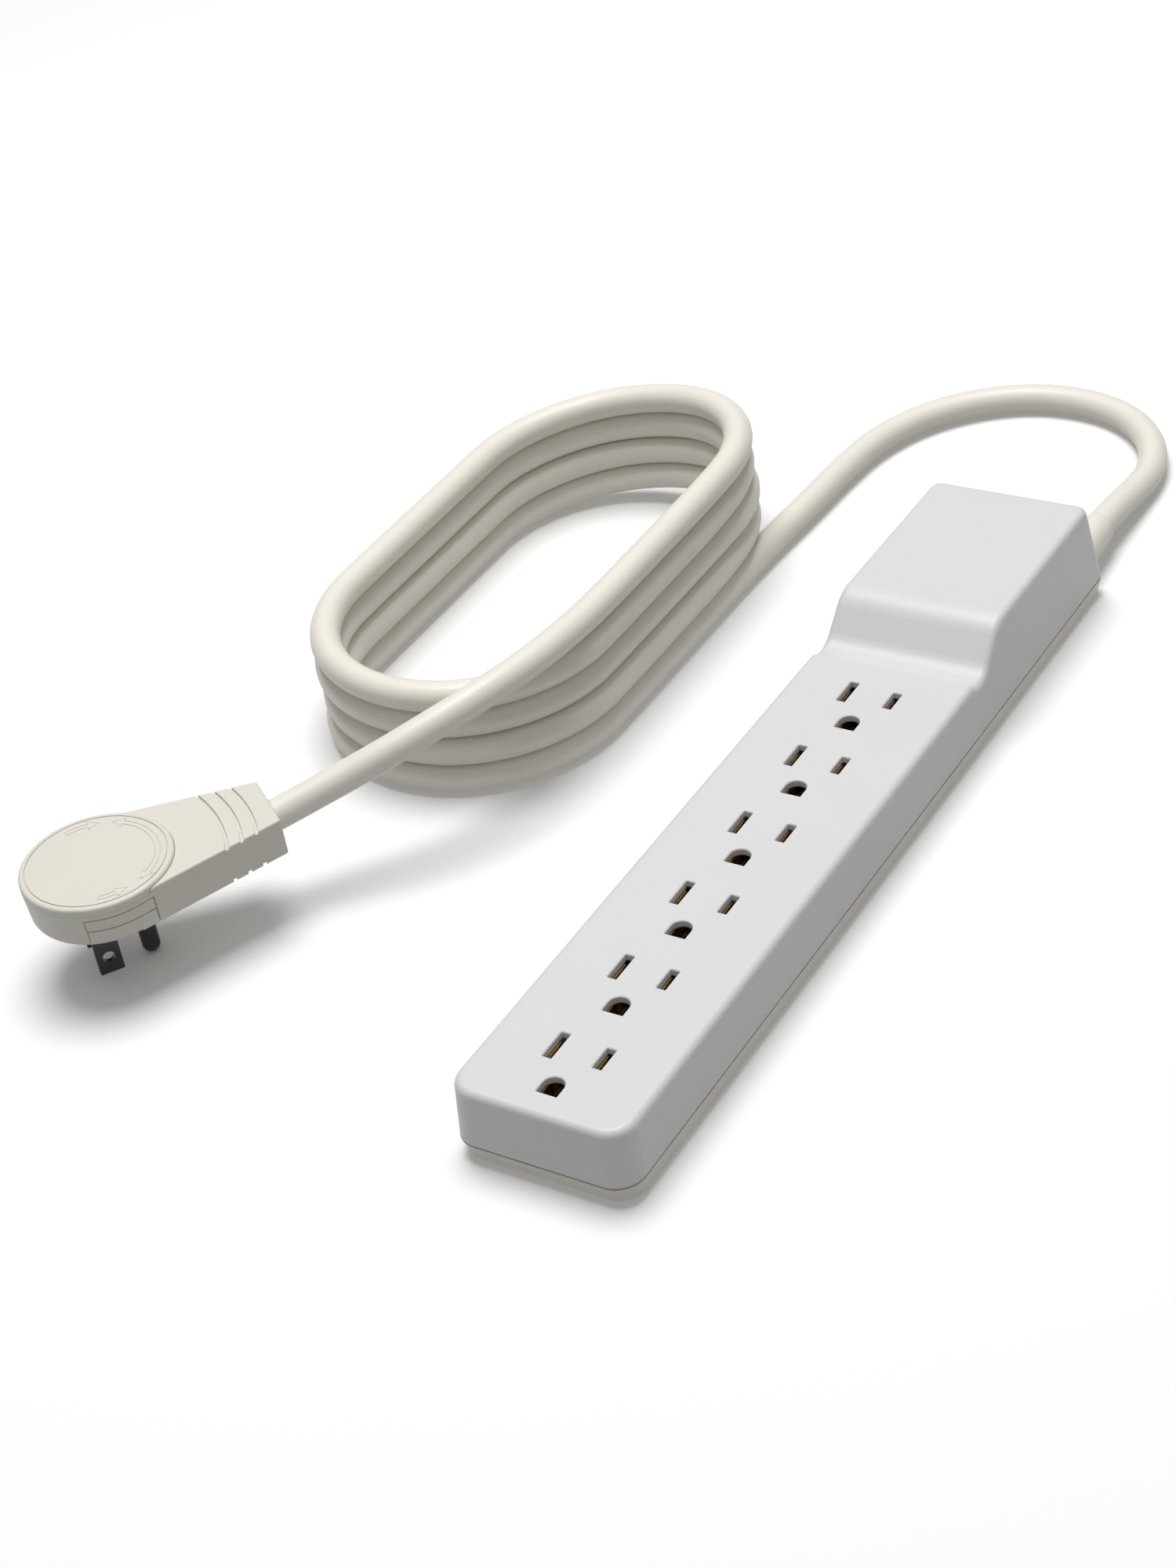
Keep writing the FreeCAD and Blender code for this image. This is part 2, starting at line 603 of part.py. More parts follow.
def tube(name, points, radius):
    """A round tube along a path, checked against its section times its length."""
    spine, radii = pathWire(points)
    path = doc.addObject("Part::Feature", name + "_path")
    path.Shape = spine
    section = doc.addObject("Part::Circle", name + "_section")
    bind(section, Radius=radius)
    first = spine.Edges[0]
    section.Placement = FreeCAD.Placement(V(*points[0]), FreeCAD.Rotation(V(0, 0, 1), first.tangentAt(0)))
    sweep = doc.addObject("Part::Sweep", name)
    sweep.Sections = [section]
    sweep.Spine = (path, [f"Edge{i}" for i in range(1, len(spine.Edges) + 1)])
    sweep.Solid = True
    sweep.Frenet = False
    doc.recompute()
    wanted = math.pi * num(radius) ** 2 * spine.Length
    if abs(sweep.Shape.Volume / wanted - 1) > 0.01:
        raise RuntimeError(f"{name}: volume {sweep.Shape.Volume:.1f}, section times length {wanted:.1f}")
    print(f"{name}: length {spine.Length:.1f}, arc radii {[round(r, 1) for r in radii]}")
    return sweep


# ---- placing in the plug's own frame

def place(name, thing):
    """Keeps a plug part and moves it from the plug's own frame into the strip's."""
    thing.Placement = FreeCAD.Placement(V(), FreeCAD.Rotation(V(0, 0, 1), num("plugTurn")))
    bind(thing, Placement__Base__x="plugX", Placement__Base__y="plugY", Placement__Rotation__Angle="plugTurn")
    return keep(name, thing)


def plugPoint(x, y, z):
    turn = math.radians(num("plugTurn"))
    return (num("plugX") + x * math.cos(turn) - y * math.sin(turn),
            num("plugY") + x * math.sin(turn) + y * math.cos(turn), z)


# ---- wires and cord, along their routes

def internalWires():
    bus = num("carrierFar - 1") + 0.05
    level = num("carrierFloor + wireRadius + 0.05")
    tab, near = num("breakerX"), num("breakerNear - tabLong") - 0.05
    start = num("flangeNear") - 0.05
    side = num("bladeGap/2")
    routes = {
        "hot_wire": [(15, start, 10.2), (15.2, 106, 12), (10, 88, 17), (4, 74, 20), (-2.5, 66.5, 20.5),
                     (-9.1, 68.5, 20.6), (tab, near, 20.5)],
        "breaker_wire": [(tab, near, 9.5), (-8.4, 70, 9.4), (-1, 62, 8), (5.6, 57.6, 5), (side, bus, level)],
        "neutral_wire": [(13, start, 6.2), (12, 100, 4.2), (4, 80, 2.9), (-5, 65, 2.95), (-side, bus, level)],
        "ground_wire": [(17, start, 6.2), (16.6, 104, 5), (12, 84, 4.2), (6, 68, 3.6), (0.8, 59, 3.9),
                        (0, bus, level)],
    }
    for name, points in routes.items():
        keep(name, tube(name, points, "wireRadius"))


def strainRelief():
    at = ("exitX", "exitZ")
    flange = cylinder("relief_flange", (at[0], "flangeNear", at[1]), "flangeRadius",
                      "flangeFar - flangeNear", "y")
    neck = cylinder("relief_neck", (at[0], "flangeFar - 0.5", at[1]), "neckRadius",
                    "bootStart - flangeFar + 1", "y")
    boot = cone("relief_boot", (at[0], "bootStart", at[1]), "bootRoot", "bootTip", "bootEnd - bootStart", "y")
    keep("strain_relief", fuse("strain_relief", [flange, neck, boot]))


def cords():
    lead = [(num("exitX"), num("bootEnd"), num("exitZ")), (15.0, 159.0, 7.3), (15.3, 172.5, 5.0),
            (15.3, 187.0, 4.2), (9.5, 201.0, 4.2), (-1.3, 211.8, 4.2), (-15.6, 217.2, 4.2),
            (-33.0, 216.8, 4.2), (-50.0, 208.8, 4.2), (-63.3, 194.5, 4.2), (-70.5, 176.5, 4.2),
            (-72.3, 157.0, 4.2), (-72.9, 138.0, 4.2), (-74.0, 120.5, 4.2), (-74.3, 104.5, 4.2)]
    tail = [(-74.4, 33.0, 38.6), (-75.0, 17.0, 38.8), (-77.2, 0.5, 39.0), (-81.6, -15.5, 38.7),
            (-88.6, -29.5, 36.6), (-97.4, -41.4, 32.9), (-107.4, -52.3, 28.6),
            plugPoint(num("handleEnd + collarLong"), 0, num("cordLevel"))]
    keep("cord_lead", tube("cord_lead", lead, "cordRadius"))
    keep("cord_tail", tube("cord_tail", tail, "cordRadius"))


def racetrack(sketch, radius):
    """Closed outline of two straights and two half rounds about the coil's middle."""
    x, y, reach, r = num("coilX"), num("coilY"), num("coilStraight/2"), num(radius)
    near, far = V(x, y - reach, 0), V(x, y + reach, 0)
    first = sketch.GeometryCount
    shapes = [
        Part.LineSegment(V(x + r, near.y, 0), V(x + r, far.y, 0)),
        Part.Arc(V(x + r, far.y, 0), V(x, far.y + r, 0), V(x - r, far.y, 0)),
        Part.LineSegment(V(x - r, far.y, 0), V(x - r, near.y, 0)),
        Part.Arc(V(x - r, near.y, 0), V(x, near.y - r, 0), V(x + r, near.y, 0)),
    ]
    for shape in shapes:
        sketch.addGeometry(shape, False)
    ends = [(0, 2, 1, 1), (1, 2, 2, 1), (2, 2, 3, 1), (3, 2, 0, 1)]
    for a, p, b, q in ends:
        sketch.addConstraint(Sketcher.Constraint("Tangent", first + a, p, first + b, q))
    for arc, end in ((1, "coilY + coilStraight/2"), (3, "coilY - coilStraight/2")):
        constrain(sketch, "DistanceX", "coilX", -1, 1, first + arc, 3)
        constrain(sketch, "DistanceY", end, -1, 1, first + arc, 3)
    constrain(sketch, "Radius", radius, first + 1)


def coil():
    """Outer shape of the wound cord: four turns high on the left, five on the right."""
    body = newBody("cord_coil")
    sketch = sketchOn(body, XY)
    racetrack(sketch, "coilRound + cordRadius")
    racetrack(sketch, "coilRound - cordRadius")
    pad(body, sketch, "4*turnPitch + 2*cordRadius")
    left, right = "coilX - coilRound", "coilX + coilRound - cordRadius"
    low, high = "3*turnPitch + 2*cordRadius", "4*turnPitch + 2*cordRadius"
    wedge = outline(body, XZ, [(f"{left} - 20", low), (left, low), (right, high), (right, f"{high} + 5"),
                               (f"{left} - 20", f"{high} + 5")])
    pocket(body, wedge, both=True)
    keep("cord_coil", body)


# ---- plug: all in the plug's own frame until it is placed

# middle of each brush over its slip ring
BRUSHES = {
    "line_brush": ("lineRingIn + ringWide/2", "0"),
    "neutral_brush": ("(neutralRingIn + ringWide/2)*0.5", "-(neutralRingIn + ringWide/2)*0.866"),
    "ground_brush": ("(groundRingIn + ringWide/2)*0.259", "(groundRingIn + ringWide/2)*0.966"),
}


def sector(name, core, low, high, start, sweep):
    """Thin cut into the disc's side down to the core, over a range of height and of angle."""
    ring = cylinder(name + "_outer", ("0", "0", low), "discRadius + 1", f"{high} - ({low})")
    ring.Placement = FreeCAD.Placement(V(0, 0, num(low)), FreeCAD.Rotation(V(0, 0, 1), num(start)))
    bind(ring, Angle=sweep, Placement__Rotation__Angle=start)
    return cut(name, ring, core)


def panelLines():
    """Shallow outline of a panel on each side of the disc, with a line across its middle."""
    core = cone("panel_core", ("0", "0", "discLow"), "discFoot - panelLine", "discRadius - panelLine",
                "discHigh - discLow")
    lines = []
    for side, middle in (("near", "-90"), ("far", "90")):
        for level in ("panelHigh", "panelMid"):
            lines.append(sector(f"panel_{side}_{level}", core, f"{level} - panelLine", level,
                                f"{middle} - panelHalf", "2*panelHalf"))
        for end, sign in (("first", "-"), ("last", "+")):
            lines.append(sector(f"panel_{side}_{end}", core, "discLow", "panelHigh",
                                f"{middle} {sign} panelHalf - panelEdge/2", "panelEdge"))
    return lines


def plugHousing():
    body = newBody("plug_shell")
    disc = circles(body, XY, [("0", "0", "discRadius")], offset="discHigh")
    pad(body, disc, "discHigh - discLow", down=True, taper="-discDraft")
    low = num("discLow")
    roundEdges(body, lambda e: e.BoundBox.ZMax < low + 0.01, "discRound")
    plan = outline(body, XY, [("handleStart", "-handleRoot"), ("handleEnd", "-handleTip"),
                              ("handleEnd", "handleTip"), ("handleStart", "handleRoot")], offset="handleLow")
    pad(body, plan, "handleHigh - handleLow")
    high, bottom, start = num("handleHigh"), num("handleLow"), num("handleStart")

    def handleEdge(e):
        area = e.BoundBox
        level = area.ZLength < 0.01 and abs(area.ZMin - high) < 0.01 and area.XMax > start + 20
        corner = area.ZLength > 5 and area.XMin > start + 20
        foot = area.ZLength < 0.01 and abs(area.ZMin - bottom) < 0.01 and area.XMin > start + 20
        return level or corner or foot

    roundEdges(body, handleEdge, "handleRound")
    pocket(body, circles(body, XY, [("0", "0", "capRadius + 0.1")], offset="discHigh"), "5", up=True)
    for face, deep, up in (("handleHigh", "gripDeep", False), ("handleLow", "gripDeep", True)):
        rings = [("gripFirst - gripArc", "0", f"gripArc {side} gripWide/2") for side in ("-", "+")]
        groove = pocket(body, circles(body, XY, rings, offset=face), deep, up=up)
        pattern(body, [groove], 3, "gripStep", "X_Axis")
    collar = circles(body, YZ, [("0", "cordLevel", "collarRadius")], offset="handleEnd")
    pad(body, collar, "collarLong")
    pocket(body, circles(body, XY, [("0", "0", "rotorRadius + rotorFit")], offset="discLow"),
           "webLow - discLow", up=True)
    pocket(body, circles(body, XY, [("0", "0", "chamberRadius")], offset="discHigh"), "discHigh - webHigh")
    pocket(body, circles(body, XY, [("0", "0", "hubRadius + 0.1")], offset="webHigh"), "webHigh - webLow")
    duct = rectangle(body, XY, ("chamberRadius - 2.6", "-4.5"), ("handleEnd - 6", "4.5"),
                     offset="discHigh - 0.8")
    pocket(body, duct, "5.2")
    studs = [cylinder(f"stud_way{i}", (x, y, "webLow - 1"), "studRadius + 0.05", "5")
             for i, (x, y) in enumerate(BRUSHES.values())]
    place("plug_housing", cut("plug_housing", body, fuse("plug_cuts", panelLines() + studs)))


def plugCap():
    body = newBody("plug_cap")
    pad(body, circles(body, XY, [("0", "0", "capRadius")], offset="discHigh"), "capTop - discHigh")
    top = num("capTop")
    roundEdges(body, lambda e: e.BoundBox.ZMin > top - 0.01, "capRound")
    rings = [("0", "0", "capGroove"), ("0", "0", "capGroove - grooveWide")]
    pocket(body, circles(body, XY, rings, offset="capTop"), "grooveWide")
    place("plug_cap", body)


def plugRotor():
    body = newBody("rotor_form")
    pad(body, circles(body, XY, [("0", "0", "rotorRadius")], offset="discLow"), "rotorTop - discLow")
    pad(body, circles(body, XY, [("0", "0", "hubRadius")], offset="rotorTop"), "hubTop - rotorTop")
    for side in ("-", ""):
        middle = f"{side}bladeGap/2"
        slot = rectangle(body, XY, ("-bladeBack - bladeSpan/2", f"{middle} - bladeThick/2"),
                         ("-bladeBack + bladeSpan/2", f"{middle} + bladeThick/2"), offset="discLow")
        pocket(body, slot, "rotorTop - socketRoof - discLow", up=True)
    pocket(body, circles(body, XY, [("pinAhead", "0", "pinNeckRadius")], offset="discLow"),
           "rotorTop - socketRoof - discLow", up=True)
    ring = cylinder("hub_ring", ("0", "0", "webHigh + 0.1 - clipPlay"), "clipRadius",
                    "clipThick + 2*clipPlay")
    groove = cut("hub_groove", ring, cylinder("hub_core", ("0", "0", "webHigh"), "clipGroove", "1"))
    place("plug_rotor", cut("plug_rotor", body, groove))
    clip = cut("rotor_clip", cylinder("clip_disc", ("0", "0", "webHigh + 0.1"), "clipRadius", "clipThick"),
               fuse("clip_ways", [cylinder("clip_bore", ("0", "0", "webHigh"), "clipGroove + clipPlay", "1"),
                                  box("clip_gap", ("-6", "-1", "webHigh"), ("6", "2", "1"))]))
    place("rotor_clip", clip)


def blade(name, side):
    """Flat blade with a hole and narrowed tip, standing in the rotor."""
    body = newBody(name)
    tip, top = "discLow - bladeLong", "rotorTop - socketRoof"
    half, middle = "bladeSpan/2", f"{side}bladeGap/2"
    corners = [(f"-bladeBack - {half}", top), (f"-bladeBack - {half}", f"{tip} + bladeTaper"),
               (f"-bladeBack - {half} + bladeTaper", tip), (f"-bladeBack + {half} - bladeTaper", tip),
               (f"-bladeBack + {half}", f"{tip} + bladeTaper"), (f"-bladeBack + {half}", top)]
    pad(body, outline(body, XZ, corners, offset=f"-({middle}) - bladeThick/2"), "bladeThick")
    hole = circles(body, XZ, [("-bladeBack", "discLow - bladeHoleDown", "bladeHole")],
                   offset=f"-({middle}) + bladeThick")
    pocket(body, hole, both=True)
    place(name, body)


def groundPin():
    """Round pin with a domed tip and a thinner neck where it stands in the rotor."""
    body = newBody("ground_pin")
    pad(body, circles(body, XY, [("pinAhead", "0", "pinRadius")]), "discLow - pinNeck")
    roundEdges(body, lambda e: e.BoundBox.ZMax < 0.01, "pinRadius - 0.1")
    pad(body, circles(body, XY, [("pinAhead", "0", "pinNeckRadius")], offset="discLow - pinNeck"),
        "rotorTop - socketRoof - discLow + pinNeck")
    place("ground_pin", body)


def slipRings():
    for name, inner in (("line_slip_ring", "lineRingIn"), ("neutral_slip_ring", "neutralRingIn"),
                        ("ground_slip_ring", "groundRingIn")):
        body = newBody(name)
        rings = [("0", "0", inner), ("0", "0", f"{inner} + ringWide")]
        pad(body, circles(body, XY, rings, offset="rotorTop"), "ringThick")
        place(name, body)


def brushes():
    low = "rotorTop + ringThick + brushGap"
    for name, (x, y) in BRUSHES.items():
        pillar = cylinder(f"{name}_stud", (x, y, low), "studRadius", f"studTop - ({low})")
        shoe = cylinder(f"{name}_shoe", (x, y, low), "ringWide/2", f"webLow - ({low})")
        place(name, fuse(name, [pillar, shoe]))


def plugWires():
    high = num("studTop + plugWire")
    end, level = num("handleEnd - 5.98"), num("cordLevel")
    stops = {name: (num(x), num(y)) for name, (x, y) in BRUSHES.items()}
    routes = {
        "line_brush": [(end, 0, level), (33, 0.2, level), (26, 0.1, 26.3), (20, 0, 27.3), (16, 0, 28.1)],
        "neutral_brush": [(end, -2.6, level), (33, -2.7, level), (26, -2.6, 26.3), (20, -2.7, 27.3),
                          (15.8, -3.2, 28.1), (12, -5.8, high)],
        "ground_brush": [(end, 2.6, level), (33, 2.7, level), (26, 2.6, 26.3), (20, 2.7, 27.3),
                         (15.8, 3.2, 28.1), (10, 5.5, high)],
    }
    wires = []
    for name, points in routes.items():
        points.append((*stops[name], high))
        wires.append(tube(f"{name}_wire", [plugPoint(*p) for p in points], "plugWire"))
    keep("plug_wires", together("plug_wires", wires))


# ---- building, checking and writing

def check():
    doc.recompute()
    for thing in doc.Objects:
        if {"Invalid", "Error"} & set(thing.State):
            raise RuntimeError(f"{thing.Name} failed: {thing.State}")
    for name, thing in nodes.items():
        shape = thing.Shape
        if shape.isNull() or not shape.isValid() or shape.Volume <= 0:
            raise RuntimeError(f"{name} has no valid shape")


def write():
    os.makedirs("parts", exist_ok=True)
    for name, thing in nodes.items():
        thing.Shape.exportStep(f"parts/{name}.step")
    whole = FreeCAD.BoundBox()
    for thing in nodes.values():
        whole.add(thing.Shape.BoundBox)
    print(f"{len(nodes)} nodes, box {whole}")


fillSheet()
topCover()
basePlate()
caseScrews()
contactCarrier()
busBars()
breaker()
internalWires()
strainRelief()
coil()
cords()
plugHousing()
plugCap()
plugRotor()
blade("line_blade", "")
blade("neutral_blade", "-")
groundPin()
slipRings()
brushes()
plugWires()
check()
write()
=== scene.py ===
import bpy
import json
import math
from mathutils import Matrix, Vector


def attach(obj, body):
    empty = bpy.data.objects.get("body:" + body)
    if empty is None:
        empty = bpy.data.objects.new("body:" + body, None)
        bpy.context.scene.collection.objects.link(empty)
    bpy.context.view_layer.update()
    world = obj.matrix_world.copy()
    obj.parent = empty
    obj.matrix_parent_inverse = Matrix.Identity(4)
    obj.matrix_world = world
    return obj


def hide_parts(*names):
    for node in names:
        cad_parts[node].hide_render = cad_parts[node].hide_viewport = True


# Power strip with a stacked coil of cord and a turning plug.
# Everything is in metres, in the strip's own frame: +Y towards the cord end, +Z up.

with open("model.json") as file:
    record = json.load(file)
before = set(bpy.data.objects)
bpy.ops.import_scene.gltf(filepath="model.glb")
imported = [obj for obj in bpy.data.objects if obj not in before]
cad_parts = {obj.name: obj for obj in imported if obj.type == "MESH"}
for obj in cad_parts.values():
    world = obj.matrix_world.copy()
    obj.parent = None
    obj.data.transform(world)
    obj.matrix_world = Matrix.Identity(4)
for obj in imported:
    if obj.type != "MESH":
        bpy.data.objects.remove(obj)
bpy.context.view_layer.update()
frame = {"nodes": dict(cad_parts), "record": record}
nodes = frame["nodes"]
scene = bpy.context.scene
print("frame loaded:", len(nodes), "parts")


# camera

cameraView = {
    "place": (0.31798, -0.50840, 0.46402),
    "azimuth": 37.045,
    "elevation": 35.919,
    "roll": -10.325,
    "lens": 68.69,
    "sensor": 36,
    "nearest": 0.01,
}


def addCamera(settings):
    camera = bpy.data.objects.new("camera", bpy.data.cameras.new("camera"))
    scene.collection.objects.link(camera)
    camera.data.lens = settings["lens"]
    camera.data.sensor_width = settings["sensor"]
    camera.data.clip_start = settings["nearest"]
    turn = Matrix.Rotation(math.radians(settings["azimuth"]), 4, "Z")
    tilt = Matrix.Rotation(math.radians(90 - settings["elevation"]), 4, "X")
    roll = Matrix.Rotation(math.radians(settings["roll"]), 4, "Z")
    camera.matrix_world = Matrix.Translation(settings["place"]) @ turn @ tilt @ roll
    scene.camera = camera


addCamera(cameraView)
print("camera ready")


# cord: one open spline from the strain relief, round the coil, to the plug

cordShape = {
    "diameter": 0.0084,
    "length": 2.0,
    "pitch": 0.0086,  # height from one turn of the coil to the next
    "rest": 0.0042,  # centre of a turn that lies on the floor
    "roundness": 8,  # steps of the mesh between two points, and round the tube
    "exit": (0.0150, 0.1485, 0.0076),
    "lead": [
        (0.0150, 0.1470, 0.0076), (0.0150, 0.1590, 0.0073), (0.0153, 0.1725, 0.0050),
        (0.0153, 0.1870, 0.0042), (0.0095, 0.2010, 0.0042), (-0.0013, 0.2118, 0.0042),
        (-0.0156, 0.2172, 0.0042), (-0.0330, 0.2168, 0.0042), (-0.0500, 0.2088, 0.0042),
        (-0.0633, 0.1945, 0.0042), (-0.0705, 0.1765, 0.0042), (-0.0723, 0.1570, 0.0042),
        (-0.0729, 0.1380, 0.0042), (-0.0740, 0.1205, 0.0042), (-0.0743, 0.1045, 0.0042),
    ],
    # one turn, seen from above: down the right run, round the near end, up the left run
    # and round the far end, where the third number is how much of the climb is done
    "rightRun": [(-0.0744, 0.0880, 0), (-0.0744, 0.0620, 0), (-0.0744, 0.0360, 0)],
    "nearEnd": [
        (-0.0747, 0.0172, 0), (-0.0828, 0.0008, 0), (-0.0970, -0.0106, 0), (-0.1148, -0.0146, 0),
        (-0.1328, -0.0106, 0), (-0.1470, 0.0008, 0), (-0.1551, 0.0172, 0),
    ],
    "leftRun": [(-0.1555, 0.0360, 0), (-0.1554, 0.0620, 0), (-0.1555, 0.0860, 0)],
    "farEnd": [
        (-0.1551, 0.1052, 0.02), (-0.1470, 0.1220, 0.11), (-0.1333, 0.1335, 0.28),
        (-0.1160, 0.1378, 0.52), (-0.0985, 0.1350, 0.78), (-0.0840, 0.1245, 0.94),
        (-0.0757, 0.1082, 1),
    ],
    "tail": [
        (-0.0744, 0.0330, 0.0386), (-0.0750, 0.0170, 0.0388), (-0.0772, 0.0005, 0.0390),
        (-0.0816, -0.0155, 0.0387), (-0.0886, -0.0295, 0.0366), (-0.0974, -0.0414, 0.0329),
        (-0.1074, -0.0523, 0.0286), (-0.1164, -0.0649, 0.0258),
    ],
    # one shift for each turn of the coil
    "looseness": [(0, 0), (0.0005, 0.0004), (-0.0004, 0.0007), (0.0003, 0.0003)],
}


def cordPoints(shape):
    points = list(shape["lead"])
    oneTurn = shape["rightRun"] + shape["nearEnd"] + shape["leftRun"] + shape["farEnd"]
    for turn, (dx, dy) in enumerate(shape["looseness"]):
        low = shape["rest"] + turn * shape["pitch"]
        for x, y, climb in oneTurn:
            points.append((x + dx, y + dy, low + climb * shape["pitch"]))
    top = shape["rest"] + len(shape["looseness"]) * shape["pitch"]
    points += [(x, y, top) for x, y, climb in shape["rightRun"][:2]]
    return points + shape["tail"]


def addCord(shape):
    points = cordPoints(shape)
    curve = bpy.data.curves.new("cord", "CURVE")
    curve.dimensions = "3D"
    spline = curve.splines.new("NURBS")
    spline.points.add(len(points) - 1)
    for where, point in zip(points, spline.points):
        point.co = (*where, 1)
        point.radius = shape["diameter"] / 2
    spline.order_u = 3
    spline.use_endpoint_u = True
    spline.resolution_u = shape["roundness"]
    curve.bevel_depth = 1  # times the radius at each point
    curve.bevel_resolution = shape["roundness"]
    curve.use_fill_caps = True
    piece = bpy.data.objects.new("cord", curve)
    scene.collection.objects.link(piece)
    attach(piece, "strip")
    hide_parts("cord_lead", "cord_coil", "cord_tail")
    return piece


cord = addCord(cordShape)
print("cord laid")


# turning arrows: thin raised outlines on the cap of the plug

arrowShape = {
    "centre": (-0.1431, -0.1023),  # the disc's axis
    "handle": 54.5,  # direction of the handle, and zero for the angles below
    "level": 0.03200,
    "radius": 0.01565,  # middle of each arrow
    "shaft": 0.00065,  # half width
    "head": 0.0017,  # half width
    "headLong": 11.0,  # degrees
    "step": 3,  # degrees between two points of a shaft
    "ridge": 0.00022,
    "roundness": 2,
    # name, start and end in degrees, and whether both ends have a head
    "arrows": [
        ("arrowHandle", -61, 58, True),
        ("arrowLeft", 103, 71, False),
        ("arrowRight", -104, -76, False),
    ],
}


def arrowOutline(start, end, both, shape):
    # the way round one arrow as pairs of angle and distance from its middle line
    way = 1 if end > start else -1
    neck = end - way * shape["headLong"]
    foot = start + way * shape["headLong"] if both else start
    steps = max(4, round(abs(neck - foot) / shape["step"]))
    shaft = [foot + (neck - foot) * i / steps for i in range(steps + 1)]
    outline = [(angle, shape["shaft"]) for angle in shaft]
    outline += [(neck, shape["head"]), (end, 0), (neck, -shape["head"])]
    outline += [(angle, -shape["shaft"]) for angle in reversed(shaft)]
    if both:
        outline += [(foot, -shape["head"]), (start, 0), (foot, shape["head"])]
    return outline


def addArrow(name, start, end, both, shape):
    outline = arrowOutline(start, end, both, shape)
    curve = bpy.data.curves.new(name, "CURVE")
    curve.dimensions = "3D"
    spline = curve.splines.new("POLY")
    spline.points.add(len(outline) - 1)
    for (angle, off), point in zip(outline, spline.points):
        turn = math.radians(angle + shape["handle"])
        reach = shape["radius"] + off
        x, y = shape["centre"]
        point.co = (x + reach * math.cos(turn), y + reach * math.sin(turn), shape["level"], 1)
        point.radius = shape["ridge"]
    spline.use_cyclic_u = True
    curve.bevel_depth = 1
    curve.bevel_resolution = shape["roundness"]
    piece = bpy.data.objects.new(name, curve)
    scene.collection.objects.link(piece)
    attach(piece, "strip")
    return piece


arrows = [addArrow(*row, arrowShape) for row in arrowShape["arrows"]]
print("arrows raised:", len(arrows))


# small helpers for shading

def group(name, inputs, outputs):
    tree = bpy.data.node_groups.new(name, "ShaderNodeTree")
    for title, value in inputs:
        socket = tree.interface.new_socket(name=title, in_out="INPUT", socket_type="NodeSocketFloat")
        socket.default_value = value
    for title, kind in outputs:
        tree.interface.new_socket(name=title, in_out="OUTPUT", socket_type="NodeSocket" + kind)
    return tree, tree.nodes.new("NodeGroupInput"), tree.nodes.new("NodeGroupOutput")


def add(tree, kind, **values):
    node = tree.nodes.new("ShaderNode" + kind)
    for title, value in values.items():
        setattr(node, title, value)
    return node


def feed(tree, socket, value):
    # a socket is linked, anything else is set
    if isinstance(value, bpy.types.NodeSocket):
        tree.links.new(value, socket)
    else:
        socket.default_value = value


def remap(tree, source, low, high, toLow=0.0, toHigh=1.0):
    node = add(tree, "MapRange")
    values = {"Value": source, "From Min": low, "From Max": high, "To Min": toLow, "To Max": toHigh}
    for title, value in values.items():
        feed(tree, node.inputs[title], value)
    return node.outputs["Result"]


def noise(tree, vector, scale, settings):
    node = add(tree, "TexNoise")
    feed(tree, node.inputs["Vector"], vector)
    feed(tree, node.inputs["Scale"], scale)
    feed(tree, node.inputs["Detail"], settings["detail"])
    feed(tree, node.inputs["Roughness"], settings["roughness"])
    return remap(tree, node.outputs["Fac"], settings["low"], settings["high"])


def maths(tree, kind, a, b):
    node = add(tree, "Math", operation=kind)
    feed(tree, node.inputs[0], a)
    feed(tree, node.inputs[1], b)
    return node.outputs[0]


def mixColour(tree, factor, a, b):
    node = add(tree, "Mix", data_type="RGBA")
    feed(tree, node.inputs["Factor"], factor)
    for socket, value in ((node.inputs[6], a), (node.inputs[7], b)):
        feed(tree, socket, (*value, 1) if isinstance(value, tuple) else value)
    return node.outputs[2]


def use(tree, source, **values):
    node = tree.nodes.new("ShaderNodeGroup")
    node.node_tree = source
    for title, value in values.items():
        node.inputs[title].default_value = value
    return node.outputs


# effects that several finishes share

# each pattern is noise, stretched so that low gives 0 and high gives 1
patterns = {
    "grain": {"detail": 1.5, "roughness": 0.6, "low": 0.3, "high": 0.7},
    "flow": {"detail": 3.0, "roughness": 0.55, "low": 0.3, "high": 0.7},
    "smudge": {"detail": 5.0, "roughness": 0.6, "low": 0.5, "high": 0.75},
    "lines": {"detail": 2.0, "roughness": 0.5, "low": 0.68, "high": 0.72},
}
lineRun = {"turn": (0.3, 0.2, 0.6), "squeeze": (1, 0.04, 1)}  # the way that hairline marks run
edgeLook = {"samples": 4, "flat": 0.995, "sharp": 0.85}  # how far a normal turns at an edge


def buildMouldGrain():
    # fine spark grain of a moulded face, and slow unevenness from the flow of the plastic
    inputs = [("Grain", 2600), ("Flow", 40)]
    outputs = [("Grain", "Float"), ("Flow", "Float")]
    tree, entry, leave = group("mouldGrain", inputs, outputs)
    where = add(tree, "TexCoord").outputs["Object"]
    grain = noise(tree, where, entry.outputs["Grain"], patterns["grain"])
    flow = noise(tree, where, entry.outputs["Flow"], patterns["flow"])
    tree.links.new(grain, leave.inputs["Grain"])
    tree.links.new(flow, leave.inputs["Flow"])
    return tree


